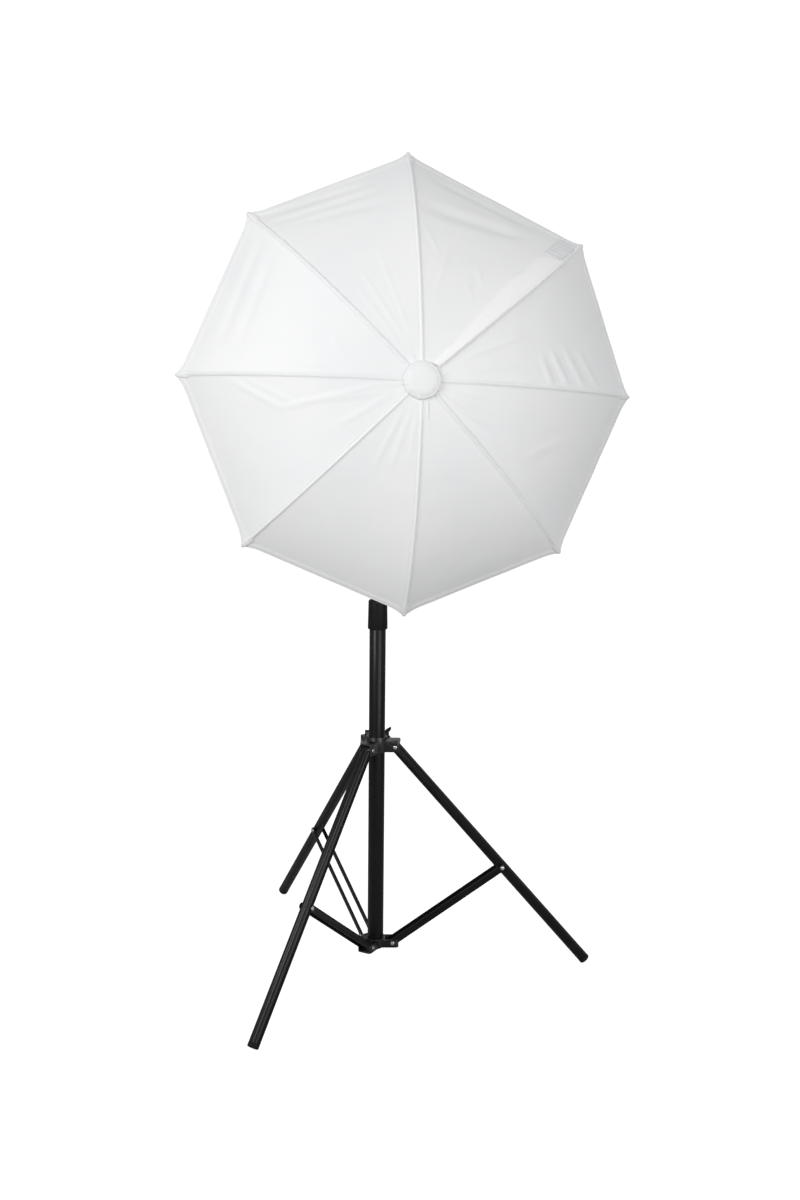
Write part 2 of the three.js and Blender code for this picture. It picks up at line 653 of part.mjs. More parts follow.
function hubCap() {
  const low = domeZ(0) + CAP.lift;
  const { radius, height } = CAP;
  const profile = [
    [0, low],
    [radius * 0.7, low],
    [radius, low + height * 0.15],
    [radius, low + height * 0.4],
    [radius * 0.85, low + height * 0.75],
    [radius * 0.5, low + height * 0.95],
    [0, low + height],
  ];
  return mesh('hub_cap', turned(profile, 32), 'whiteCloth');
}

const ribZ = (r) => domeZ(r / RIM.radius) - CLOTH - RIB.drop - RIB.crownDrop * (1 - r / RIM.radius) ** 4;

const circle = (radius, sides) => outline(sides, () => radius);

// Built in the plane y = 0 with +X outward; a group turns it to its azimuth
function rib(name) {
  const points = [];
  const steps = 14;
  for (let k = 0; k <= steps; k += 1) {
    const r = RIB.knuckle + (RIB.end - RIB.knuckle) * (k / steps);
    points.push(new THREE.Vector3(r, 0, ribZ(r)));
  }
  const path = new THREE.CatmullRomCurve3(points);
  const options = { steps: 12, bevelEnabled: false, extrudePath: path };
  return mesh(name, new THREE.ExtrudeGeometry(circle(RIB.radius, 6), options), 'steel');
}

const stretcherEnd = { r: STRETCHER.at, z: ribZ(STRETCHER.at) };

function stretcher(name) {
  const from = new THREE.Vector3(RUNNER.pivot, STRETCHER.beside, RUNNER.z);
  const to = new THREE.Vector3(stretcherEnd.r, STRETCHER.beside, stretcherEnd.z);
  const options = { steps: 1, bevelEnabled: false, extrudePath: new THREE.LineCurve3(from, to) };
  return mesh(name, new THREE.ExtrudeGeometry(circle(STRETCHER.radius, 6), options), 'steel');
}

function crown() {
  const { z, core, flange, flangeLow, flangeTop } = CROWN;
  const bore = SHAFT.radius + GAP;
  const profile = [
    [bore, z - 12],
    [core, z - 12],
    [core, flangeLow],
    [flange, flangeLow],
    [flange, flangeTop - 1],
    [flange - 1, flangeTop],
    [bore, flangeTop],
  ];
  return mesh('crown', turned(profile), 'blackPlastic');
}

function runner() {
  const { z, core, flange, rear } = RUNNER;
  const bore = SHAFT.radius + GAP;
  const lip = core + 1.5;
  const profile = [
    [bore, rear],
    [lip, rear],
    [lip, rear + 3],
    [core, rear + 4],
    [core, z - 9],
    [flange, z - 8],
    [flange, z - 3],
    [core, z - 3],
    [core, z + 5],
    [bore, z + 5],
  ];
  const body = toSolid(turned(profile));
  const hole = toSolid(alongY(rod(CATCH.radius + GAP, 0, 20, 20)).translate(0, 0, rear + CATCH.along));
  return mesh('runner', toGeometry(cut(body, hole)), 'blackPlastic');
}

function runnerCatch() {
  const { radius, low, high, edge, along } = CATCH;
  const profile = [[0, low], [radius, low], [radius, high - edge], [radius - edge, high], [0, high]];
  const button = alongY(turned(profile, 20));
  return mesh('runner_catch', button.translate(0, 0, RUNNER.rear + along), 'steel');
}

function shaft() {
  return mesh('shaft', ring(SHAFT.bore, SHAFT.radius, SHAFT.rear, SHAFT.front, 24), 'steel');
}

function shaftEndCap() {
  const bore = SHAFT.radius + GAP;
  const outer = bore + 1.4;
  const end = SHAFT.rear - 5;
  const lip = SHAFT.rear + 18;
  const profile = [
    [0, end],
    [outer - 1, end],
    [outer, end + 1],
    [outer, lip],
    [bore, lip],
    [bore, SHAFT.rear - GAP],
    [0, SHAFT.rear - GAP],
  ];
  return mesh('shaft_end_cap', turned(profile, 24), 'rubber');
}

// ---------- assembly ----------

function stand() {
  const group = new THREE.Group();
  group.add(...TUBES.map(tube), basePlug(), baseCollar(), spider(), spiderKnob(), stud());
  group.add(guideBush('mid_bush', TUBES[1], TUBES[0]), guideBush('upper_bush', TUBES[2], TUBES[1]));
  group.add(...COLLARS.map(lockCollar));
  group.add(lockKnob('lock_knob_lower', COLLARS[0]), lockKnob('lock_knob_upper', COLLARS[1]));
  for (const [name, azimuth] of Object.entries(LEG_DIRECTIONS)) group.add(tripodSide(name, azimuth));
  return group;
}

function head() {
  const group = new THREE.Group();
  group.rotation.z = HEAD_TURN * DEG;
  group.add(standSocket(), socketKnob(), tiltBolt(), tiltLever());
  return group;
}

// Turns from +Z up to +Z forward: local X stays to the right and local Y becomes up
function softbox() {
  const group = new THREE.Group();
  const tilt = TILT_REST * DEG;
  const turn = HEAD_TURN * DEG;
  const right = new THREE.Vector3(Math.cos(turn), Math.sin(turn), 0);
  const level = new THREE.Vector3(Math.sin(turn), -Math.cos(turn), 0);
  const front = level.multiplyScalar(Math.cos(tilt)).setZ(Math.sin(tilt));
  const up = new THREE.Vector3().crossVectors(front, right);
  group.setRotationFromMatrix(new THREE.Matrix4().makeBasis(right, up, front));
  group.position.set(0, 0, TILT_PIVOT).addScaledVector(up, SHAFT_ABOVE_PIVOT);

  group.add(tiltHead(), shaftScrew(), flashShoe(), shoeRing());
  group.add(shaft(), shaftEndCap(), crown(), runner(), runnerCatch());
  group.add(canopy(), closureFlap(), hubCap(), rearCover());
  RIB_AZIMUTHS.forEach((azimuth, i) => {
    const side = new THREE.Group();
    side.rotation.z = azimuth * DEG;
    side.add(rib(`rib_${i + 1}`), stretcher(`stretcher_${i + 1}`));
    group.add(side);
  });
  return group;
}

const assembly = new THREE.Group();
assembly.add(stand(), head(), softbox());

// The frame's origin is the middle of the footprint, on the floor
assembly.updateMatrixWorld(true);
const bounds = new THREE.Box3().setFromObject(assembly, true);
const middle = bounds.getCenter(new THREE.Vector3());
assembly.position.set(-middle.x, -middle.y, -bounds.min.z);

const group = new THREE.Group();
group.add(assembly);

export default group;
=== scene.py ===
"""Looks of an umbrella softbox on a folding three-legged light stand.

The cloth is worked out in millimetres in the softbox's own frame: x to the right, y up and z
forward along the shaft. world() turns that into metres in the CAD's frame.
"""

import json
import math
import random

import bmesh
import bpy
from mathutils import Matrix, Vector, noise

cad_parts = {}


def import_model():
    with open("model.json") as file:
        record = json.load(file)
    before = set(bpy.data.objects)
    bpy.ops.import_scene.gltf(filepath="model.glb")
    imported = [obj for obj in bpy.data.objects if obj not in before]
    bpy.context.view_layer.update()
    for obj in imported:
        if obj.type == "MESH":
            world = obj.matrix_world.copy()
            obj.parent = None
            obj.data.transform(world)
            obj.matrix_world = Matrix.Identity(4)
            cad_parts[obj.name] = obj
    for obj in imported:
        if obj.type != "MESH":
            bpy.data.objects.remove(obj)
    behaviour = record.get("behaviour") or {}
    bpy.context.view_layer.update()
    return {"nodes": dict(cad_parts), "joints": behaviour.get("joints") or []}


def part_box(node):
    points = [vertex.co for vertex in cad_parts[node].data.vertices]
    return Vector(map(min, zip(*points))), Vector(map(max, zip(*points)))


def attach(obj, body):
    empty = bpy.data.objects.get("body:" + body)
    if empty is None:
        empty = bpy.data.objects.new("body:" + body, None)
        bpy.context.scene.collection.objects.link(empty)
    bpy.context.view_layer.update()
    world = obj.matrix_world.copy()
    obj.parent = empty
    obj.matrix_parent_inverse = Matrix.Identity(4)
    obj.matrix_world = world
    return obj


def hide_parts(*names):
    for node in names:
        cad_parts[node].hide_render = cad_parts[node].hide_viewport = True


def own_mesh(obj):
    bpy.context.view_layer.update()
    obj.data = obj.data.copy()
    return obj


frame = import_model()

MM = 0.001
JOINTS = {joint["name"]: joint for joint in frame["joints"]}
RIB_COUNT = 8
LEGS = ("right", "front", "rear")

# Dome, in mm: the same curve as the CAD's
RIM_RADIUS = 373.4
RIM_HEIGHT = 363.0
DOME_DEPTH = 143.0
CLOTH = 0.9
RIM_INSET = 4.5
EAR_LENGTH = 13.0
HEM_WIDTH = 9.0
SEAM_HALF = 3.9
SEAM_DEPTH = 0.5
SEAM_START = 0.05
HEM_RISE = 0.55

# Stitches: how far apart, how far above the cloth, and where their lines run
STITCH_PITCH = 4.2
STITCH_LIFT = 0.25
SEAM_STITCH_GAP = 0.8
SEAM_STITCH_SPAN = (0.09, 0.965)
SEAM_STITCH_LENGTH = 350
HEM_STITCH_INSET = 2.2
HEM_STITCH_START = 0.03

# Puckers: half-width at the shaft's axis, its growth with radius, and where they start to fade
PUCKER_HALF = 2.2
PUCKER_GROWTH = 0.05
PUCKER_FADE_FROM = 26
CLOTH_WANDER = 0.45
WANDER_SIZE = 34

# Closure flap, sewn beyond rib_2 and wrapped over it
FLAP_RIB = 1
FLAP_START = 0.09
FLAP_END = 0.84
FLAP_WRAP = 3.4
FLAP_HUB_WIDTH = 12.0
FLAP_RIM_WIDTH = 35.0
FLAP_CREST = 4.4
FLAP_LIFT = 1.0
FLAP_CLOTH = 0.8
FLAP_SLANT = 0.03
FLAP_STITCH_SIDES = (0.2, 0.93)
FLAP_STITCH_SPAN = (0.16, 0.87)
FLAP_STITCH_LENGTH = 270

# Ribbed hook-and-loop patch past the flap's end
PATCH_START = 0.85
PATCH_END = 0.98
PATCH_ASIDE = 5
PATCH_WIDTH = 30
PATCH_RISE = 1.1
PATCH_RIDGE = 0.45
PATCH_DEPTH = 1.0

# Rear cover
REAR_RIM_SHARE = 0.98
REAR_RIM_HEIGHT = 361.2
PORT_RADIUS = 76.0
PORT_HEIGHT = 300.0
FAN_SHARES = (0.0, 0.36, 0.62, 0.79, 0.905, 1.0)
PORT_FANS = 5
FAN_STEPS = 6
REAR_CLOTH = 0.8
ELASTIC_DEPTH = 3.0
ELASTIC_WIDTH = 4.5
REAR_RUN = 290
REAR_DRAPE = 1.6
DRAPE_SIZE = 60

# Padded cap over the hub
CAP_RADIUS = 29.5
CAP_BASE = 505.0
CAP_TOP = 515.6
CAP_RING = 0.86
CAP_RING_LEVEL = 0.65

# Stand, in mm
LEG_SPLAY = math.radians(41.258)
BRACE_AT = 330.0
LEG_RIVET = 13.3
BRACE_LOW_RIVET = 15.3
BRACE_HIGH_RIVET = 12.7
RIVET_RADIUS = 4.5
RIVET_HEIGHT = 2.4

# Camera, in metres from the foot of the column
CAMERA_YAW = math.radians(0.98)
CAMERA_PITCH = math.radians(8.78)
CAMERA_ROLL = math.radians(0.58)
CAMERA_PLACE = (0, -2.5183, 1.1342)
CAMERA_LENS = 39.21


# ---------- frames ----------


def axis_of(joint):
    return Vector(JOINTS[joint]["axis"]).normalized()


def pivot_of(joint):
    return Vector(JOINTS[joint]["pos_m"])


FORWARD = -axis_of("softbox_slide")
UP = -axis_of("catch_press")
RIGHT = UP.cross(FORWARD)
GRIP = pivot_of("head_tilt") + 32 * MM * UP


def world(point):
    return GRIP + (point.x * RIGHT + point.y * UP + point.z * FORWARD) * MM


def local(position):
    offset = (position - GRIP) / MM
    return Vector((offset.dot(RIGHT), offset.dot(UP), offset.dot(FORWARD)))


HINGES = [local(pivot_of(f"rib_{number}_fold")) for number in range(1, RIB_COUNT + 1)]
AZIMUTHS = [math.atan2(hinge.y, hinge.x) for hinge in HINGES]


def azimuth(rib):
    """Azimuth of a rib, counted from 0, growing past a full turn."""
    return AZIMUTHS[rib % RIB_COUNT] + 2 * math.pi * (rib // RIB_COUNT)


# atan2 drops a full turn on its way round, so the ribs after the drop get it back
for index in range(1, RIB_COUNT):
    while AZIMUTHS[index] < AZIMUTHS[index - 1]:
        AZIMUTHS[index] += 2 * math.pi


# ---------- camera and light ----------


def make_camera():
    low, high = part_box("outer_tube")
    column = Vector(((low[0] + high[0]) / 2, (low[1] + high[1]) / 2, 0))
    heading = Vector((math.sin(CAMERA_YAW), math.cos(CAMERA_YAW), 0))
    ahead = heading * math.cos(CAMERA_PITCH) - Vector((0, 0, math.sin(CAMERA_PITCH)))
    level = Vector((math.cos(CAMERA_YAW), -math.sin(CAMERA_YAW), 0))
    right = level * math.cos(CAMERA_ROLL) + level.cross(ahead) * math.sin(CAMERA_ROLL)
    above = right.cross(ahead)
    camera = bpy.data.objects.new("camera", bpy.data.cameras.new("camera"))
    turned = Matrix((right, above, -ahead)).transposed().to_4x4()
    camera.matrix_world = Matrix.Translation(column + Vector(CAMERA_PLACE)) @ turned
    camera.data.lens = CAMERA_LENS
    camera.data.sensor_width = 36
    bpy.context.collection.objects.link(camera)
    bpy.context.scene.camera = camera


def area_light(name, position, target, width, height, watts):
    light = bpy.data.lights.new(name, "AREA")
    light.shape = "RECTANGLE"
    light.size = width
    light.size_y = height
    light.energy = watts
    lamp = bpy.data.objects.new(name, light)
    lamp.location = position
    lamp.rotation_euler = (Vector(target) - Vector(position)).to_track_quat("-Z", "Y").to_euler()
    bpy.context.collection.objects.link(lamp)


def make_world():
    """White to look at, dimmer as a source of light."""
    scene_world = bpy.data.worlds.new("studio")
    bpy.context.scene.world = scene_world
    scene_world.use_nodes = True
    nodes, links = scene_world.node_tree.nodes, scene_world.node_tree.links
    background = nodes["Background"]
    background.inputs["Color"].default_value = (1, 1, 1, 1)
    path = nodes.new("ShaderNodeLightPath")
    strength = nodes.new("ShaderNodeMapRange")
    strength.inputs["To Min"].default_value = 0.4
    strength.inputs["To Max"].default_value = 1.05
    links.new(path.outputs["Is Camera Ray"], strength.inputs["Value"])
    links.new(strength.outputs["Result"], background.inputs["Strength"])


def make_floor():
    mesh = bpy.data.meshes.new("floor")
    shape = bmesh.new()
    bmesh.ops.create_circle(shape, cap_ends=True, segments=64, radius=30)
    shape.to_mesh(mesh)
    shape.free()
    floor = bpy.data.objects.new("floor", mesh)
    floor.location.z = -0.0005
    bpy.context.collection.objects.link(floor)
    material = bpy.data.materials.new("floor_white")
    material.use_nodes = True
    nodes, links = material.node_tree.nodes, material.node_tree.links
    shader = nodes["Principled BSDF"]
    shader.inputs["Base Color"].default_value = (0.35, 0.35, 0.35, 1)
    shader.inputs["Roughness"].default_value = 0.9
    shader.inputs["Specular IOR Level"].default_value = 0.1
    shader.inputs["Emission Color"].default_value = (1, 1, 1, 1)
    path = nodes.new("ShaderNodeLightPath")
    glow = nodes.new("ShaderNodeMapRange")
    glow.inputs["To Min"].default_value = 0.0
    glow.inputs["To Max"].default_value = 0.9
    links.new(path.outputs["Is Camera Ray"], glow.inputs["Value"])
    links.new(glow.outputs["Result"], shader.inputs["Emission Strength"])
    mesh.materials.append(material)


def make_studio():
    make_camera()
    make_world()
    make_floor()
    area_light("key", (-2.25, -2.5, 1.8), (0, -0.3, 1.1), 1.8, 1.8, 56)
    area_light("fill", (1.9, -3.2, 1.25), (0, 0, 1.0), 2.6, 2.6, 42)
    area_light("strip", (2.15, -2.3, 1.3), (0, 0, 0.7), 0.18, 2.2, 6)
    area_light("rim", (1.2, 2.6, 2.4), (0, 0, 0.8), 1.6, 1.6, 24)
    bpy.context.scene.view_settings.view_transform = "Standard"


# ---------- materials ----------


def start_material(name, rough, metallic=0.0, coat=0.0, sheen=0.0, specular=0.5):
    material = bpy.data.materials.new(name)
    material.use_nodes = True
    shader = material.node_tree.nodes["Principled BSDF"]
    shader.inputs["Roughness"].default_value = rough
    shader.inputs["Metallic"].default_value = metallic
    shader.inputs["Coat Weight"].default_value = coat
    shader.inputs["Coat Roughness"].default_value = 0.14
    shader.inputs["Specular IOR Level"].default_value = specular
    shader.inputs["Sheen Weight"].default_value = sheen
    return material, shader


def noise_node(material, scale, detail=3.0, stretch=(1, 1, 1)):
    nodes, links = material.node_tree.nodes, material.node_tree.links
    place = nodes.new("ShaderNodeTexCoord")
    mapping = nodes.new("ShaderNodeMapping")
    mapping.inputs["Scale"].default_value = stretch
    grain = nodes.new("ShaderNodeTexNoise")
    grain.inputs["Scale"].default_value = scale
    grain.inputs["Detail"].default_value = detail
    links.new(place.outputs["Object"], mapping.inputs["Vector"])
    links.new(mapping.outputs["Vector"], grain.inputs["Vector"])
    return grain.outputs["Fac"]


def remap(material, source, low, high, start=0.3, end=0.7):
    node = material.node_tree.nodes.new("ShaderNodeMapRange")
    node.inputs["From Min"].default_value = start
    node.inputs["From Max"].default_value = end
    node.inputs["To Min"].default_value = low
    node.inputs["To Max"].default_value = high
    material.node_tree.links.new(source, node.inputs["Value"])
    return node.outputs["Result"]


def colour_by(material, source, first, second, start=0.35, end=0.65):
    ramp = material.node_tree.nodes.new("ShaderNodeValToRGB")
    ramp.color_ramp.elements[0].position = start
    ramp.color_ramp.elements[0].color = (*first, 1)
    ramp.color_ramp.elements[1].position = end
    ramp.color_ramp.elements[1].color = (*second, 1)
    material.node_tree.links.new(source, ramp.inputs["Fac"])
    return ramp.outputs["Color"]


def add_bump(material, shader, height, distance, strength=1.0):
    bump = material.node_tree.nodes.new("ShaderNodeBump")
    bump.inputs["Strength"].default_value = strength
    bump.inputs["Distance"].default_value = distance * MM
    material.node_tree.links.new(height, bump.inputs["Height"])
    material.node_tree.links.new(bump.outputs["Normal"], shader.inputs["Normal"])


def painted_edge_highlight(material, shader, base, edge):
    """Painted highlight: blends towards a paler colour on the sharpest edges, where light would catch them.
    """
    nodes, links = material.node_tree.nodes, material.node_tree.links
    shape = nodes.new("ShaderNodeNewGeometry")
    edge_highlight_mask = remap(material, shape.outputs["Pointiness"], 0.0, 0.55, 0.53, 0.62)
    mix = nodes.new("ShaderNodeMix")
    mix.data_type = "RGBA"
    links.new(edge_highlight_mask, mix.inputs["Factor"])
    links.new(base, mix.inputs["A"])
    mix.inputs["B"].default_value = (*edge, 1)
    links.new(mix.outputs["Result"], shader.inputs["Base Color"])


def painted_metal(name, first, second, edge, rough, specular):
    material, shader = start_material(name, 0.4, coat=0.2, specular=specular)
    cloud = noise_node(material, 26.0)
    # The paler edge colour is a painted highlight on the sharpest edges
    painted_edge_highlight(material, shader, colour_by(material, cloud, first, second), edge)
    grain = noise_node(material, 900.0, detail=2.0)
    roughness = remap(material, noise_node(material, 60.0), rough[0], rough[1])
    material.node_tree.links.new(roughness, shader.inputs["Roughness"])
    add_bump(material, shader, grain, 0.03, 0.4)
    return material


def moulded(name, first, second, rough, grain_scale, depth):
    material, shader = start_material(name, rough[0], specular=0.25)
    cloud = noise_node(material, 40.0)
    links = material.node_tree.links
    links.new(colour_by(material, cloud, first, second), shader.inputs["Base Color"])
    links.new(remap(material, cloud, rough[0], rough[1]), shader.inputs["Roughness"])
    add_bump(material, shader, noise_node(material, grain_scale, detail=2.0), depth, 0.7)
    return material


def brushed_steel(name, first, second):
    material, shader = start_material(name, 0.28, metallic=1.0)
    links = material.node_tree.links
    streak = noise_node(material, 220.0, detail=2.0, stretch=(1, 1, 0.08))
    links.new(colour_by(material, streak, first, second), shader.inputs["Base Color"])
    links.new(remap(material, streak, 0.2, 0.38), shader.inputs["Roughness"])
    add_bump(material, shader, streak, 0.02, 0.5)
    return material


def woven(name, first, second, rough, sheen=0.0, metallic=0.0, thread=0.9):
    """Plain weave: two crossed sets of threads, with soft variation in colour over the cloth."""
    material, shader = start_material(name, rough, metallic=metallic, sheen=sheen)
    nodes, links = material.node_tree.nodes, material.node_tree.links
    place = nodes.new("ShaderNodeTexCoord")
    threads = []
    for direction in ("X", "Z"):
        wave = nodes.new("ShaderNodeTexWave")
        wave.bands_direction = direction
        wave.inputs["Scale"].default_value = 314.0 / thread
        wave.inputs["Distortion"].default_value = 0.6
        links.new(place.outputs["Object"], wave.inputs["Vector"])
        threads.append(wave.outputs["Fac"])
    cross = nodes.new("ShaderNodeMath")
    cross.operation = "MULTIPLY"
    links.new(threads[0], cross.inputs[0])
    links.new(threads[1], cross.inputs[1])
    cloud = noise_node(material, 9.0, detail=4.0)
    links.new(colour_by(material, cloud, first, second), shader.inputs["Base Color"])
    links.new(remap(material, cloud, rough - 0.04, rough + 0.06), shader.inputs["Roughness"])
    add_bump(material, shader, cross.outputs["Value"], 0.03, 0.5)
    return material


MATERIALS = {
    "black_metal": painted_metal(
        "black_paint",
        first=(0.0035, 0.0035, 0.004),
        second=(0.006, 0.006, 0.0065),
        # Edge colour: painted highlight along the sharpest edges
        edge=(0.03, 0.03, 0.032),
        rough=(0.26, 0.38),
        specular=0.15,
    ),
    "stamped_metal": painted_metal(
        "stamped_black",
        first=(0.006, 0.006, 0.0065),
        second=(0.011, 0.011, 0.0115),
        # Edge colour: painted highlight along the sharpest edges, standing in for reflected studio light
        edge=(0.1, 0.1, 0.1),
        rough=(0.22, 0.34),
        specular=0.35,
    ),
    "black_plastic": moulded(
        "moulded_black",
        first=(0.0045, 0.0045, 0.005),
        second=(0.007, 0.007, 0.0075),
        rough=(0.4, 0.5),
        grain_scale=1400.0,
        depth=0.03,
    ),
    "rubber": moulded(
        "rubber_black",
        first=(0.005, 0.005, 0.005),
        second=(0.008, 0.008, 0.008),
        rough=(0.7, 0.85),
        grain_scale=700.0,
        depth=0.09,
    ),
    "steel": brushed_steel("plated_steel", (0.55, 0.56, 0.57), (0.68, 0.69, 0.70)),
    "white_cloth": woven("white_nylon", (0.865, 0.872, 0.88), (0.885, 0.888, 0.892), 0.5, sheen=0.1),
    "rear_cloth": woven("black_nylon", (0.008, 0.008, 0.009), (0.013, 0.013, 0.014), 0.5, sheen=0.05),
}
THREAD = woven("white_thread", (0.8, 0.81, 0.82), (0.86, 0.87, 0.88), 0.7, thread=0.5)
SILVER = woven("silver_lining", (0.6, 0.61, 0.62), (0.68, 0.69, 0.70), 0.34, metallic=0.9)
NICKEL = brushed_steel("nickel_rivet", (0.62, 0.62, 0.61), (0.74, 0.74, 0.73))
HOOK_AND_LOOP = moulded(
    "hook_and_loop",
    first=(0.76, 0.775, 0.79),
    second=(0.80, 0.815, 0.83),
    rough=(0.85, 0.95),
    grain_scale=1500.0,
    depth=0.25,
)
DOUBLE_CLOTH = woven("white_nylon_double", (0.92, 0.922, 0.925), (0.935, 0.936, 0.938), 0.5, sheen=0.1)


# ---------- mesh helpers ----------


def grid_faces(rows, columns):
    """Quads of a grid of points stored row by row, facing forward when rows run outward."""
    faces = []
    for row in range(rows - 1):
        for column in range(columns - 1):
            corner = row * columns + column
            faces.append((corner, corner + columns, corner + columns + 1, corner + 1))
    return faces


def tube_faces(rings, sides, start=0):
    """Quads round a tube of rings of points stored one ring after another."""
    faces = []
    for ring in range(rings - 1):
        for k in range(sides):
            a, b = start + ring * sides + k, start + ring * sides + (k + 1) % sides
            faces.append((a, b, b + sides, a + sides))
    return faces


def corner_normals(points, faces):
    normals = [Vector() for _ in points]
    for face in faces:
        across = points[face[2]] - points[face[0]]
        other = points[face[-1]] - points[face[1]]
        normal = across.cross(other)
        for corner in face:
            normals[corner] += normal
    return [normal.normalized() for normal in normals]


def shell(points, faces, thickness):
    """A closed skin: the surface, a copy behind it, and walls round its open edge."""
    count = len(points)
    depths = thickness if isinstance(thickness, list) else [thickness] * count
    normals = corner_normals(points, faces)
    back = [point - normal * depth for point, normal, depth in zip(points, normals, depths)]
    directed = {(a, b) for face in faces for a, b in zip(face, face[1:] + face[:1])}
    rim = sorted((a, b) for a, b in directed if (b, a) not in directed)
    behind = [tuple(corner + count for corner in reversed(face)) for face in faces]
    walls = [(b, a, a + count, b + count) for a, b in rim]
    return points + back, list(faces) + behind + walls


def make_piece(name, points, faces, materials, body, slot, sharp=38, pick=None):
    """A smooth-shaded mesh from points in the softbox's frame, riding on a body."""
    mesh = bpy.data.meshes.new(name)
    mesh.from_pydata([world(point) for point in points], [], faces)
    for material in materials:
        mesh.materials.append(material)
    if pick:
        for polygon in mesh.polygons:
            polygon.material_index = pick(polygon.index)
    mesh.shade_smooth()
    mesh.set_sharp_from_angle(angle=math.radians(sharp))
    piece = bpy.data.objects.new(name, mesh)
    bpy.context.collection.objects.link(piece)
    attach(piece, body)
    return piece


def fold_with_rib(piece):
    """Gives the piece its own copy of its mesh."""
    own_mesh(piece)


def rib_name(rib):
    return f"rib_{rib % RIB_COUNT + 1}"


# ---------- canopy surface ----------


def dome_height(share):
    return RIM_HEIGHT + DOME_DEPTH * (1 - 0.82 * share**2 - 0.18 * share**6)


def rib_point(rib, share):
    angle = azimuth(rib)
    radius = share * RIM_RADIUS
    return Vector((radius * math.cos(angle), radius * math.sin(angle), dome_height(share)))


def gore_width(gore, share=1.0):
    return 2 * share * RIM_RADIUS * math.sin((azimuth(gore + 1) - azimuth(gore)) / 2)


def smooth_step(low, high, value):
    t = min(1.0, max(0.0, (value - low) / (high - low)))
    return t * t * (3 - 2 * t)


def stretched(gore, share, across):
    """The taut gore before its folds, with its edge drawn in between the tips."""
    near_tip = min(across, 1 - across) * gore_width(gore)
    inset = RIM_INSET * (1 - math.exp(-((near_tip / EAR_LENGTH) ** 2)))
    drawn = share * (1 - share**6 * inset / RIM_RADIUS)
    return rib_point(gore, drawn).lerp(rib_point(gore + 1, drawn), across)


# Folds in each gore, from (share, across) to (share, across), then height and half-width in mm
FOLDS = {
    0: [
        (0.58, 0.03, 0.57, 0.34, 1.6, 6.5),
        (0.66, 0.03, 0.63, 0.37, 1.8, 6.5),
        (0.74, 0.04, 0.70, 0.38, 1.7, 6.5),
        (0.82, 0.04, 0.77, 0.34, 1.3, 6.5),
        (0.20, 0.70, 0.52, 0.62, 0.8, 5.0),
        (0.16, 0.35, 0.45, 0.30, 0.9, 6.0),
    ],
    1: [
        (0.86, 0.30, 0.76, 0.92, -2.6, 15.0),
        (0.95, 0.25, 0.93, 0.85, -1.4, 8.0),
        (0.80, 0.40, 0.86, 0.26, 1.2, 5.0),
        (0.66, 0.93, 0.57, 0.80, 0.8, 4.0),
        (0.40, 0.80, 0.62, 0.72, 0.6, 5.0),
        (0.52, 0.34, 0.60, 0.46, 0.9, 5.0),
        (0.44, 0.36, 0.50, 0.48, 0.7, 5.0),
    ],
    2: [
        (0.965, 0.97, 0.925, 0.30, -1.9, 6.5),
        (0.905, 0.93, 0.875, 0.22, -1.6, 6.0),
        (0.86, 0.80, 0.81, 0.25, -1.2, 8.0),
        (0.22, 0.55, 0.56, 0.64, 0.6, 4.5),
        (0.22, 0.35, 0.62, 0.40, 0.5, 4.5),
        (0.18, 0.72, 0.50, 0.78, 0.5, 4.5),
    ],
    3: [
        (0.90, 0.10, 0.88, 0.75, -1.3, 9.0),
        (0.82, 0.12, 0.80, 0.80, -1.0, 9.0),
        (0.44, 0.42, 0.40, 0.52, 0.6, 6.0),
        (0.20, 0.55, 0.42, 0.62, 0.6, 6.0),
        (0.16, 0.80, 0.55, 0.93, 0.7, 5.0),
    ],
    4: [
        (0.78, 0.05, 0.62, 0.30, 1.2, 5.5),
        (0.72, 0.04, 0.57, 0.26, 0.8, 5.5),
        (0.63, 0.30, 0.20, 0.22, 1.1, 6.0),
        (0.44, 0.32, 0.20, 0.40, 0.8, 6.0),
        (0.16, 0.60, 0.42, 0.66, 0.8, 6.0),
    ],
    5: [
        (0.16, 0.32, 0.42, 0.40, 0.9, 6.0),
        (0.15, 0.58, 0.40, 0.60, 0.8, 6.0),
        (0.16, 0.80, 0.36, 0.84, 0.8, 5.0),
    ],
    6: [
        (0.09, 0.16, 0.17, 0.10, 1.7, 3.0),
        (0.09, 0.40, 0.17, 0.22, 1.4, 3.0),
        (0.13, 0.62, 0.30, 0.66, 0.6, 6.0),
    ],
    7: [
        (0.11, 0.20, 0.36, 0.30, 1.5, 6.0),
        (0.12, 0.42, 0.34, 0.50, 0.9, 6.0),
        (0.13, 0.64, 0.30, 0.70, 0.7, 5.0),
        (0.60, 0.30, 0.74, 0.60, 0.8, 10.0),
    ],
}
PUCKER = random.Random(11)
# Four in each gore: place across it, height and reach in mm
PUCKERS = [
    [(PUCKER.uniform(0.06, 0.94), PUCKER.uniform(0.3, 0.9), PUCKER.uniform(9, 28)) for _ in range(4)]
    for _ in range(RIB_COUNT)
]


def flat_place(gore, share, across):
    """A point on the gore laid out flat: across from its middle, and outward."""
    return Vector(((across - 0.5) * gore_width(gore, share), share * RIM_RADIUS * 1.06))


def fold_height(gore, spot, fold):
    """A fold's height at a spot: a ridge between two shallow troughs, faded at both ends."""
    share_from, across_from, share_to, across_to, height, half_width = fold
    start = flat_place(gore, share_from, across_from)
    run = flat_place(gore, share_to, across_to) - start
    along = (spot - start).dot(run) / run.length_squared
    if along < -0.15 or along > 1.15:
        return 0.0
    aside = (spot - start - run * along).length / half_width
    taper = smooth_step(-0.15, 0.25, along) * (1 - smooth_step(0.75, 1.15, along))
    return height * taper * (1 - aside**2) * math.exp(-(aside**2))


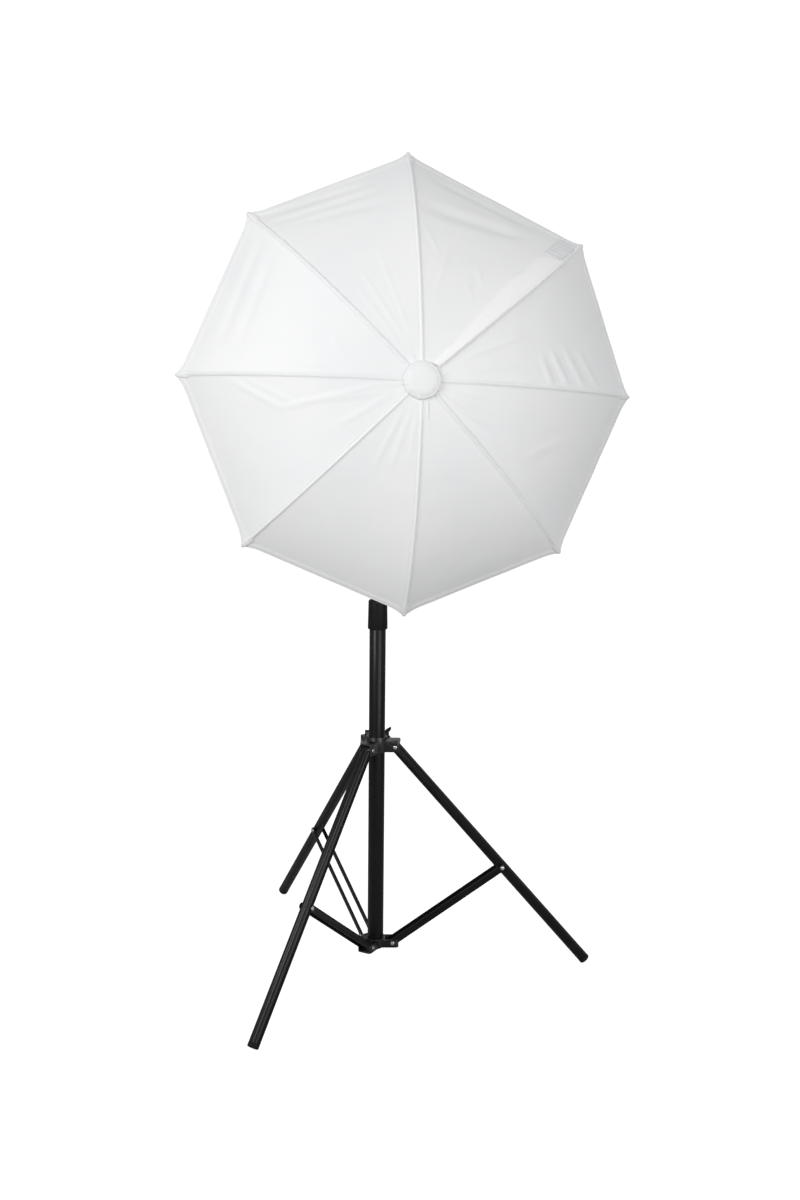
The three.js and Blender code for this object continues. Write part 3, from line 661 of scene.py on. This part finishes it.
def pucker_height(gore, share, across):
    """Short gathers that run out from under the cap."""
    radius = share * RIM_RADIUS
    total = 0.0
    for place, height, reach in PUCKERS[gore]:
        aside = (across - place) * gore_width(gore, share) / (PUCKER_HALF + PUCKER_GROWTH * radius)
        fade = math.exp(-((max(0.0, radius - PUCKER_FADE_FROM) / reach) ** 2))
        total += height * fade * (1 - aside**2) * math.exp(-(aside**2))
    return total * smooth_step(8, 20, radius)


def relief(gore, share, across):
    """How far the cloth stands off the taut gore: folds, puckers, a slow wander and the hem."""
    gore %= RIB_COUNT
    spot = flat_place(gore, share, across)
    height = sum(fold_height(gore, spot, fold) for fold in FOLDS[gore])
    height += pucker_height(gore, share, across)
    beside = min(across, 1 - across) * gore_width(gore, share)
    height *= smooth_step(1.0, 9.0, beside)
    wander = Vector((spot.x / WANDER_SIZE, spot.y / WANDER_SIZE, gore * 7.3))
    height += CLOTH_WANDER * noise.noise(wander) * smooth_step(0.0, 20.0, beside)
    from_edge = (1 - share) * RIM_RADIUS
    return height + HEM_RISE * (1 - smooth_step(HEM_WIDTH - 1.2, HEM_WIDTH, from_edge))


def canopy_point(gore, share, across):
    """A point on the finished cloth and the way it faces."""
    step = 0.004
    side = 1 if across < 0.5 else -1
    here = stretched(gore, share, across)
    sideways = (stretched(gore, share, across + side * step) - here) * side
    outward = stretched(gore, share + step, across) - here
    facing = outward.cross(sideways).normalized()
    return here + facing * relief(gore, share, across), facing


def beside_rib(rib, share, aside):
    """A point on the cloth a few mm to one side of a rib."""
    if aside >= 0:
        return canopy_point(rib, share, aside / gore_width(rib, share))
    return canopy_point(rib - 1, share, 1 + aside / gore_width(rib - 1, share))


def ridge(rib, share):
    """The point over a rib where two gores meet, and the way it faces."""
    left, left_facing = canopy_point(rib - 1, share, 1.0)
    right, right_facing = canopy_point(rib, share, 0.0)
    return left.lerp(right, 0.5), (left_facing + right_facing).normalized()


def canopy_shares():
    """Rows of the canopy's grid: closest at the cap's edge and at the hem."""
    shares = [0.03, 0.045, 0.06]
    while shares[-1] < 0.35:
        shares.append(shares[-1] + 0.009)
    while shares[-1] < 0.95:
        shares.append(shares[-1] + 0.0125)
    hem = 1 - HEM_WIDTH / RIM_RADIUS
    return shares + [hem - 0.004, hem, hem + 0.0035, hem + 0.012, 1.0]


SIDE_STEPS = [0.0, 0.013, 0.026] + [0.026 + 0.474 * step / 22 for step in range(1, 23)]


def canopy_sector(rib):
    """The cloth from one gore's centre line, over a rib, to the next gore's centre line."""
    columns = [(rib - 1, 1 - across) for across in reversed(SIDE_STEPS)]
    columns += [(rib, across) for across in SIDE_STEPS[1:]]
    shares = canopy_shares()
    points = []
    for share in shares:
        for gore, across in columns:
            points.append(canopy_point(gore, share, across)[0])
    faces = grid_faces(len(shares), len(columns))
    solid = shell(points, faces, CLOTH)
    name = f"canopy_{rib + 1}"
    piece = make_piece(name, *solid, [MATERIALS["white_cloth"]], rib_name(rib), "white_cloth")
    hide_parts("canopy")
    fold_with_rib(piece)
    sewn_on = [seam_tape(rib), seam_stitches(rib), hem_stitches(rib), tip_pocket(rib)]


def seam_tape(rib):
    """A lapped seam that stands up as a low welt over the rib."""
    profile = [(-1.0, 0.1), (-0.85, 0.35), (-0.6, 0.95), (-0.35, 1.5), (0.0, 1.9)]
    profile += [(-side, height) for side, height in reversed(profile[:-1])]
    rows = 71
    shares = [SEAM_START + (1 - SEAM_START) * row / (rows - 1) for row in range(rows)]
    points = []
    for share in shares:
        for side, height in profile:
            if side == 0:
                here, facing = ridge(rib, share)
            else:
                here, facing = beside_rib(rib, share, side * SEAM_HALF)
            points.append(here + facing * height)
    solid = shell(points, grid_faces(rows, len(profile)), SEAM_DEPTH)
    piece = make_piece(f"seam_{rib + 1}", *solid, [MATERIALS["white_cloth"]], rib_name(rib), "white_cloth")
    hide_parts("canopy")
    return piece


def add_stitch(points, faces, centre, along, facing, length=2.7, radius=0.38):
    """One thread stitch: a spindle that lies on the cloth."""
    side = along.cross(facing).normalized()
    start = len(points)
    points.append(centre - along * length / 2)
    points.extend(centre + offset * radius for offset in (side, facing, -side, -facing))
    points.append(centre + along * length / 2)
    for k in range(4):
        a, b = start + 1 + k, start + 1 + (k + 1) % 4
        faces.append((start, b, a))
        faces.append((start + 5, a, b))


def stitch_line(points, faces, place, start, end, length):
    """Stitches at even spacing where place(t) gives the point and facing, t from start to end."""
    count = int(length / STITCH_PITCH)
    for k in range(count):
        t = start + (end - start) * (k + 0.5) / count
        here, facing = place(t)
        ahead = place(t + (end - start) * 0.25 / count)[0]
        add_stitch(points, faces, here + facing * STITCH_LIFT, (ahead - here).normalized(), facing)


def seam_stitches(rib):
    points, faces = [], []
    for side in (-1, 1):

        def place(share, side=side):
            return beside_rib(rib, share, side * (SEAM_HALF + SEAM_STITCH_GAP))

        stitch_line(points, faces, place, *SEAM_STITCH_SPAN, SEAM_STITCH_LENGTH)
    piece = make_piece(f"seam_stitches_{rib + 1}", points, faces, [THREAD], rib_name(rib), "white_cloth")
    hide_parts("canopy")
    return piece


def hem_stitches(rib):
    points, faces = [], []
    share = 1 - (HEM_WIDTH - HEM_STITCH_INSET) / RIM_RADIUS
    spans = ((rib - 1, 0.5, 1 - HEM_STITCH_START), (rib, HEM_STITCH_START, 0.5))
    for gore, start, end in spans:

        def place(across, gore=gore):
            return canopy_point(gore, share, across)

        stitch_line(points, faces, place, start, end, gore_width(gore) * (end - start))
    piece = make_piece(f"hem_stitches_{rib + 1}", points, faces, [THREAD], rib_name(rib), "white_cloth")
    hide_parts("canopy")
    fold_with_rib(piece)
    return piece


def tip_pocket(rib):
    """The sewn pocket that holds the end of a rib, flattened and rounded at its end."""
    # Rings of the pocket: share along the rib, half-width and half-height
    rings = [(0.94, 3.2, 1.0), (0.955, 5.6, 2.0), (0.972, 5.4, 2.4), (0.986, 4.8, 2.4), (0.997, 3.9, 2.2)]
    rings += [(1.003, 2.8, 1.8), (1.0065, 1.4, 1.0)]
    sides = 14
    points = []
    for share, half, height in rings:
        here, facing = ridge(rib, min(share, 1.0))
        outward = rib_point(rib, 1.0) - rib_point(rib, 0.98)
        here += outward.normalized() * max(0.0, share - 1) * RIM_RADIUS
        across = facing.cross(outward).normalized()
        middle = here - facing * 0.7
        for k in range(sides):
            angle = 2 * math.pi * k / sides
            offset = across * half * math.cos(angle) + facing * height * math.sin(angle)
            points.append(middle + offset)
    faces = tube_faces(len(rings), sides)
    faces.append(tuple(reversed(range(sides))))
    last = (len(rings) - 1) * sides
    faces.append(tuple(range(last, last + sides)))
    name = f"tip_pocket_{rib + 1}"
    piece = make_piece(name, points, faces, [MATERIALS["white_cloth"]], rib_name(rib), "white_cloth", 60)
    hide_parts("canopy")
    return piece


# ---------- closure flap ----------


def flap_place(share, side):
    """side runs from 0 at the edge sewn beyond the rib to 1 at the free edge."""
    width = FLAP_HUB_WIDTH + (FLAP_RIM_WIDTH - FLAP_HUB_WIDTH) * smooth_step(0.05, 0.62, share)
    aside = side * (width + FLAP_WRAP) - FLAP_WRAP
    here, facing = beside_rib(FLAP_RIB, share, aside)
    ripple = 0.5 * math.sin(share * 31) + 0.35 * math.sin(share * 67 + 1)
    climb = smooth_step(-FLAP_WRAP, 1.0, aside)
    lift = FLAP_LIFT + (FLAP_CREST - FLAP_LIFT) * climb * (1 - max(0.0, aside) / width)
    lift += 0.5 * ripple * smooth_step(0.45, 1.0, side)
    return here + facing * max(0.9, lift), facing


def closure_flap():
    rows, columns = 66, 25
    points = []
    for row in range(rows):
        share = FLAP_START + (FLAP_END - FLAP_START) * row / (rows - 1)
        for column in range(columns):
            side = column / (columns - 1)
            slant = FLAP_SLANT * side * smooth_step(0.8, 1.0, row / (rows - 1))
            points.append(flap_place(share - slant, side)[0])
    faces = grid_faces(rows, columns)
    body = rib_name(FLAP_RIB)
    solid = shell(points, faces, FLAP_CLOTH)
    flap = make_piece("closure_flap_cloth", *solid, [DOUBLE_CLOTH], body, "white_cloth")
    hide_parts("closure_flap")
    fold_with_rib(flap)

    points, faces = [], []
    for side in FLAP_STITCH_SIDES:

        def place(share, side=side):
            return flap_place(share, side)

        stitch_line(points, faces, place, *FLAP_STITCH_SPAN, FLAP_STITCH_LENGTH)
    stitches = make_piece("closure_flap_stitches", points, faces, [THREAD], body, "white_cloth")
    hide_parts("closure_flap")
    fold_with_rib(stitches)


def fastening_patch():
    """Ribbed hook-and-loop tab between the flap's end and the rib's tip."""
    rows, columns = 25, 12
    points = []
    for row in range(rows):
        share = PATCH_START + (PATCH_END - PATCH_START) * row / (rows - 1)
        for column in range(columns):
            aside = PATCH_ASIDE + PATCH_WIDTH * column / (columns - 1)
            here, facing = beside_rib(FLAP_RIB, share, aside)
            rise = PATCH_RISE + (PATCH_RIDGE if row % 4 < 2 else 0.0)
            points.append(here + facing * rise)
    solid = shell(points, grid_faces(rows, columns), PATCH_DEPTH)
    piece = make_piece("fastening_patch", *solid, [HOOK_AND_LOOP], rib_name(FLAP_RIB), "white_cloth")
    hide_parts("closure_flap")
    fold_with_rib(piece)


# ---------- hub cap ----------


# The pad from its middle to underneath: share of its radius, level between base and top
CAP_PROFILE = [(0.12, 1.0), (0.25, 0.99), (0.38, 0.97), (0.5, 0.94), (0.6, 0.9), (0.68, 0.85)]
CAP_PROFILE += [(0.75, 0.79), (0.8, 0.73), (0.835, 0.68), (0.86, 0.65), (0.885, 0.64), (0.92, 0.63)]
CAP_PROFILE += [(0.955, 0.56), (0.985, 0.44), (1.0, 0.3), (1.008, 0.15), (1.0, 0.02), (0.9, -0.02)]
CAP_PROFILE += [(0.7, -0.04)]
CAP_CHANCE = random.Random(5)
CAP_PHASES = [CAP_CHANCE.uniform(0, 6.28) for _ in range(4)]


def cap_point(share, level, angle):
    """A point on the pad at a share of its radius and a level between its base and its top."""
    gather = math.sin(16 * angle + CAP_PHASES[0]) + 0.6 * math.sin(27 * angle + CAP_PHASES[1])
    gather += 0.5 * math.sin(9 * angle + CAP_PHASES[2])
    near_edge = math.exp(-(((share - 0.87) / 0.11) ** 2))
    bulge = 0.012 * math.cos(8 * (angle - azimuth(1))) * smooth_step(0.6, 1.0, share)
    radius = CAP_RADIUS * share * (1 + bulge + 0.006 * gather * smooth_step(0.9, 1.0, share))
    reach = share * 2.6
    swell = 0.5 * noise.noise(Vector((reach * math.cos(angle), reach * math.sin(angle), 3.1)))
    height = CAP_BASE + (CAP_TOP - CAP_BASE) * level + 0.42 * gather * near_edge * level + swell * level
    return Vector((radius * math.cos(angle), radius * math.sin(angle), height))


def cap_ring_place(angle):
    """On the stitched ring that draws the pad in near its edge."""
    return cap_point(CAP_RING, CAP_RING_LEVEL, angle), Vector((0, 0, 1))


def hub_cap():
    """Padded disc, drawn in by a stitched ring near its edge, with shallow gathers."""
    columns = 112
    points = [Vector((0, 0, CAP_TOP))]
    for share, level in CAP_PROFILE:
        for k in range(columns):
            points.append(cap_point(share, level, 2 * math.pi * k / columns))
    faces = [(0, 1 + k, 1 + (k + 1) % columns) for k in range(columns)]
    for ring in range(len(CAP_PROFILE) - 1):
        start = 1 + ring * columns
        for k in range(columns):
            a, b = start + k, start + (k + 1) % columns
            faces.append((a, a + columns, b + columns, b))
    last = 1 + (len(CAP_PROFILE) - 1) * columns
    faces.append(tuple(last + k for k in reversed(range(columns))))
    cap = make_piece("hub_cap_pad", points, faces, [MATERIALS["white_cloth"]], "softbox", "white_cloth", 70)
    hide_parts("hub_cap")

    points, faces = [], []
    stitch_line(points, faces, cap_ring_place, 0, 2 * math.pi, 2 * math.pi * CAP_RADIUS * CAP_RING)
    stitches = make_piece("hub_cap_stitches", points, faces, [THREAD], "softbox", "white_cloth")
    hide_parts("hub_cap")


# ---------- rear cover ----------


def rear_rim_radius(angle):
    """Radius of the rear cover's straight edge at an azimuth."""
    for gore in range(-1, RIB_COUNT + 1):
        low, high = azimuth(gore), azimuth(gore + 1)
        if low - 1e-9 <= angle <= high + 1e-9:
            middle, half = (low + high) / 2, (high - low) / 2
            return REAR_RIM_SHARE * RIM_RADIUS * math.cos(half) / math.cos(angle - middle)
    return REAR_RIM_SHARE * RIM_RADIUS


def rear_surface(x, y, angle_near):
    """The cover's point over (x, y), gathered by the elastic round the port, and its share outward."""
    angle = math.atan2(y, x)
    while angle < angle_near - math.pi:
        angle += 2 * math.pi
    while angle > angle_near + math.pi:
        angle -= 2 * math.pi
    radius = math.hypot(x, y)
    share = (radius - PORT_RADIUS) / (rear_rim_radius(angle) - PORT_RADIUS)
    share = min(1.0, max(0.0, share))
    height = PORT_HEIGHT + (REAR_RIM_HEIGHT - PORT_HEIGHT) * share**0.92
    near_port = math.exp(-share / 0.16)
    gather = 2.0 * math.sin(28 * angle) + 1.1 * math.sin(17 * angle + 0.8)
    sag = noise.noise(Vector((x / DRAPE_SIZE, y / DRAPE_SIZE, 5.0)))
    drape = REAR_DRAPE * sag * math.sin(math.pi * share)
    return Vector((x, y, height + gather * near_port + drape)), share


def rear_far_point(rib, side, share):
    """On the gore's centre line: share 0 at the rim, 1 at the port."""
    angle = (azimuth(rib) + azimuth(rib + side)) / 2
    half = abs(angle - azimuth(rib))
    edge = REAR_RIM_SHARE * RIM_RADIUS * math.cos(half)
    radius = edge + (PORT_RADIUS - edge) * share
    return Vector((radius * math.cos(angle), radius * math.sin(angle), 0))


# Rows of a fan, from near the tip to the far edge, closer where the elastic gathers
FAN_ROWS = [step / 26 for step in range(1, 24)] + [0.915, 0.945, 0.97, 0.985, 1.0]


def rear_sliver(name, rib, far_points):
    """A narrow fan of the rear cover from a rib's tip, riding on the rib."""
    angle = azimuth(rib)
    tip = rib_point(rib, REAR_RIM_SHARE)
    tip.z = REAR_RIM_HEIGHT
    points = [tip.copy()]
    depths = [REAR_CLOTH]
    columns = len(far_points)
    for along in FAN_ROWS:
        for far in far_points:
            spot = tip.lerp(far, along)
            point, share = rear_surface(spot.x, spot.y, angle)
            points.append(point)
            from_port = share * REAR_RUN
            depths.append(REAR_CLOTH + ELASTIC_DEPTH * math.exp(-((from_port / ELASTIC_WIDTH) ** 2)))
    faces = [(0, 1 + k, 2 + k) for k in range(columns - 1)]
    for row in range(len(FAN_ROWS) - 1):
        for k in range(columns - 1):
            a = 1 + row * columns + k
            faces.append((a, a + columns, a + columns + 1, a + 1))
    if corner_normals(points, faces)[columns].z > 0:
        faces = [tuple(reversed(face)) for face in faces]
    front_count = len(faces)
    solid = shell(points, faces, depths)

    def lining(index):
        return 1 if front_count <= index < 2 * front_count else 0

    looks = [MATERIALS["rear_cloth"], SILVER]
    piece = make_piece(name, *solid, looks, rib_name(rib), "rear_cloth", pick=lining)
    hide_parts("rear_cover")
    middle = rear_surface(far_points[columns // 2].x, far_points[columns // 2].y, angle)[0] - tip
    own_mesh(piece)


def rear_sector(rib):
    """All the fans from one rib's tip: to the gores' middles on both sides, and to the port."""
    steps = range(FAN_STEPS + 1)
    for side, label in ((-1, "left"), (1, "right")):
        for number, (low, high) in enumerate(zip(FAN_SHARES, FAN_SHARES[1:]), start=1):
            far = [rear_far_point(rib, side, low + (high - low) * k / FAN_STEPS) for k in steps]
            rear_sliver(f"rear_cover_{rib + 1}_{label}_{number}", rib, far)
    low = azimuth(rib) - (azimuth(rib) - azimuth(rib - 1)) / 2
    high = azimuth(rib) + (azimuth(rib + 1) - azimuth(rib)) / 2
    for fan in range(PORT_FANS):
        port = []
        for k in steps:
            angle = low + (high - low) * (fan + k / FAN_STEPS) / PORT_FANS
            port.append(Vector((PORT_RADIUS * math.cos(angle), PORT_RADIUS * math.sin(angle), 0)))
        rear_sliver(f"rear_cover_{rib + 1}_port_{fan + 1}", rib, port)


# ---------- stand ----------


def smoothing_group():
    group = bpy.data.node_groups.new("smooth_by_angle", "GeometryNodeTree")
    group.interface.new_socket("Geometry", in_out="INPUT", socket_type="NodeSocketGeometry")
    group.interface.new_socket("Geometry", in_out="OUTPUT", socket_type="NodeSocketGeometry")
    nodes, links = group.nodes, group.links
    start = nodes.new("NodeGroupInput")
    end = nodes.new("NodeGroupOutput")
    smooth = nodes.new("GeometryNodeSetShadeSmooth")
    sharp = nodes.new("GeometryNodeSetShadeSmooth")
    sharp.domain = "EDGE"
    sharp.inputs["Shade Smooth"].default_value = False
    angle = nodes.new("GeometryNodeInputMeshEdgeAngle")
    more = nodes.new("FunctionNodeCompare")
    more.data_type = "FLOAT"
    more.operation = "GREATER_THAN"
    more.inputs["B"].default_value = math.radians(31)
    links.new(start.outputs["Geometry"], smooth.inputs["Geometry"])
    links.new(smooth.outputs["Geometry"], sharp.inputs["Geometry"])
    links.new(angle.outputs["Unsigned Angle"], more.inputs["A"])
    links.new(more.outputs["Result"], sharp.inputs["Selection"])
    links.new(sharp.outputs["Geometry"], end.inputs["Geometry"])
    return group


# Materials of the CAD's pieces; the rest are black plastic
SLOTS = {
    "black_metal": ["outer_tube", "mid_tube", "upper_tube"]
    + [f"{part}_{side}" for part in ("leg", "brace") for side in LEGS],
    "stamped_metal": ["base_collar", "spider", "flash_shoe"],
    "rubber": [f"foot_{side}" for side in LEGS] + ["shaft_end_cap"],
    "steel": ["stand_stud", "tilt_bolt", "shaft", "runner_catch"]
    + [f"{part}_{number}" for part in ("rib", "stretcher") for number in range(1, RIB_COUNT + 1)],
    "white_cloth": ["canopy", "closure_flap", "hub_cap"],
    "rear_cloth": ["rear_cover"],
}


def finish_cad_nodes():
    """Materials for the CAD's own pieces, with softened edges and smooth rounds."""
    group = smoothing_group()
    slot_of = {name: slot for slot, names in SLOTS.items() for name in names}
    for name, node in frame["nodes"].items():
        material = MATERIALS[slot_of.get(name, "black_plastic")]
        for slot in node.material_slots:
            slot.link = "OBJECT"
            slot.material = material
        weld = node.modifiers.new("weld", "WELD")
        weld.merge_threshold = 0.00002
        bevel = node.modifiers.new("edges", "BEVEL")
        bevel.width = 0.0004
        bevel.segments = 2
        bevel.limit_method = "ANGLE"
        bevel.angle_limit = math.radians(48)
        bevel.use_clamp_overlap = True
        shading = node.modifiers.new("shading", "NODES")
        shading.node_group = group


def add_dome(points, faces, centre, axis, radius, height):
    """A rivet head in metres: a low dome with a short straight edge, closed underneath."""
    side = axis.orthogonal().normalized()
    other = axis.cross(side)
    rings = [(1.0, 0.0), (1.0, 0.3), (0.94, 0.55), (0.8, 0.78), (0.55, 0.93), (0.28, 0.99)]
    sides = 20
    start = len(points)
    for spread, level in rings:
        for k in range(sides):
            angle = 2 * math.pi * k / sides
            offset = side * math.cos(angle) + other * math.sin(angle)
            points.append(centre + offset * radius * spread + axis * height * level)
    points.append(centre + axis * height)
    faces.extend(tube_faces(len(rings), sides, start))
    top = start + (len(rings) - 1) * sides
    for k in range(sides):
        faces.append((top + k, top + (k + 1) % sides, start + len(rings) * sides))
    faces.append(tuple(start + k for k in reversed(range(sides))))


def rivets(name, body, spots):
    """Bright rivet heads at both ends of each pin: spots are (centre, axis, half-length)."""
    points, faces = [], []
    for centre, axis, half in spots:
        for way in (axis, -axis):
            add_dome(points, faces, centre + way * half * MM, way, RIVET_RADIUS * MM, RIVET_HEIGHT * MM)
    mesh = bpy.data.meshes.new(name)
    mesh.from_pydata(points, [], faces)
    mesh.materials.append(NICKEL)
    mesh.shade_smooth()
    mesh.set_sharp_from_angle(angle=math.radians(60))
    piece = bpy.data.objects.new(name, mesh)
    bpy.context.collection.objects.link(piece)
    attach(piece, body)


def stand_rivets():
    """Rivets at the top of each leg and at both ends of each brace."""
    for side in LEGS:
        hinge = pivot_of(f"leg_{side}_fold")
        axis = axis_of(f"leg_{side}_fold")
        foot = pivot_of(f"brace_{side}_fold")
        outward = axis.cross(Vector((0, 0, 1))).normalized()
        low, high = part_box(f"leg_{side}")
        middle = Vector(((low[0] + high[0]) / 2, (low[1] + high[1]) / 2, 0))
        if outward.dot(middle - Vector((hinge.x, hinge.y, 0))) < 0:
            outward = -outward
        run = outward * math.sin(LEG_SPLAY) - Vector((0, 0, math.cos(LEG_SPLAY)))
        rivets(f"leg_rivets_{side}", f"leg_{side}", [(hinge, axis, LEG_RIVET)])
        spots = [(foot, axis, BRACE_LOW_RIVET), (hinge + run * BRACE_AT * MM, axis, BRACE_HIGH_RIVET)]
        rivets(f"brace_rivets_{side}", f"brace_{side}", spots)


# ---------- build ----------

make_studio()
finish_cad_nodes()
stand_rivets()
for rib in range(RIB_COUNT):
    canopy_sector(rib)
    rear_sector(rib)
closure_flap()
fastening_patch()
hub_cap()
